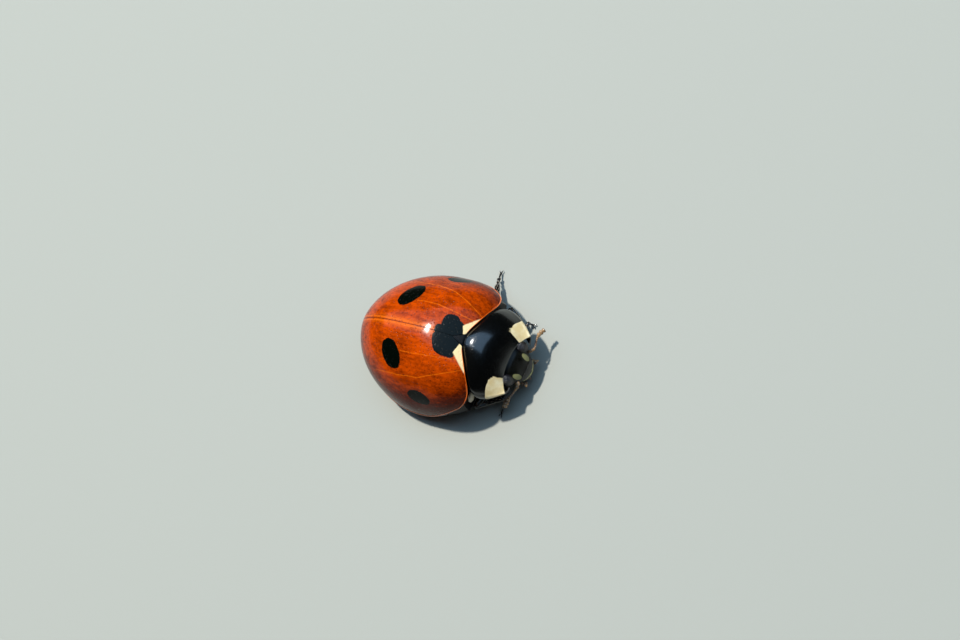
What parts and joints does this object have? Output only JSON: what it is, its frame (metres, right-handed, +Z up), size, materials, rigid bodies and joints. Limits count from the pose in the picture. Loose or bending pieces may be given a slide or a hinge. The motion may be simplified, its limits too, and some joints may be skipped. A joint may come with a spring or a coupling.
{
  "type": "seven-spot ladybird, still model",
  "caption": "Seven-spot ladybird standing on all its feet: domed orange wing cases, black shield with pale corners, small head, short clubbed feelers.",
  "frame": {"origin": "on the floor, under the middle of the object's box", "axes": "+X to the beetle's left, +Y towards its rear, so it faces -Y, and +Z up"},
  "size_m": [0.0062, 0.0072, 0.0034],
  "materials": {
    "wing_case": "glossy orange-red shell with black spots",
    "shield": "glossy black shell with cream patches",
    "body": "satin black underside",
    "eye": "glossy black, finely faceted",
    "leg": "satin black",
    "feeler": "satin brown"
  },
  "bodies": {
    "root": {"elytron_left": "wing_case", "elytron_right": "wing_case", "scutellum": "shield", "pronotum": "shield", "prothorax": "body", "mesothorax": "body", "metathorax": "body", "abdomen": "body", "head": "shield", "mouthparts": "shield", "eye_left": "eye", "eye_right": "eye", "antenna_left": "feeler", "antenna_right": "feeler", "palp_left": "feeler", "palp_right": "feeler", "coxa_front_left": "leg", "femur_front_left": "leg", "tibia_front_left": "leg", "tarsus_front_left": "leg", "coxa_front_right": "leg", "femur_front_right": "leg", "tibia_front_right": "leg", "tarsus_front_right": "leg", "coxa_middle_left": "leg", "femur_middle_left": "leg", "tibia_middle_left": "leg", "tarsus_middle_left": "leg", "coxa_middle_right": "leg", "femur_middle_right": "leg", "tibia_middle_right": "leg", "tarsus_middle_right": "leg", "coxa_hind_left": "leg", "femur_hind_left": "leg", "tibia_hind_left": "leg", "tarsus_hind_left": "leg", "coxa_hind_right": "leg", "femur_hind_right": "leg", "tibia_hind_right": "leg", "tarsus_hind_right": "leg"}
  },
  "joints": []
}
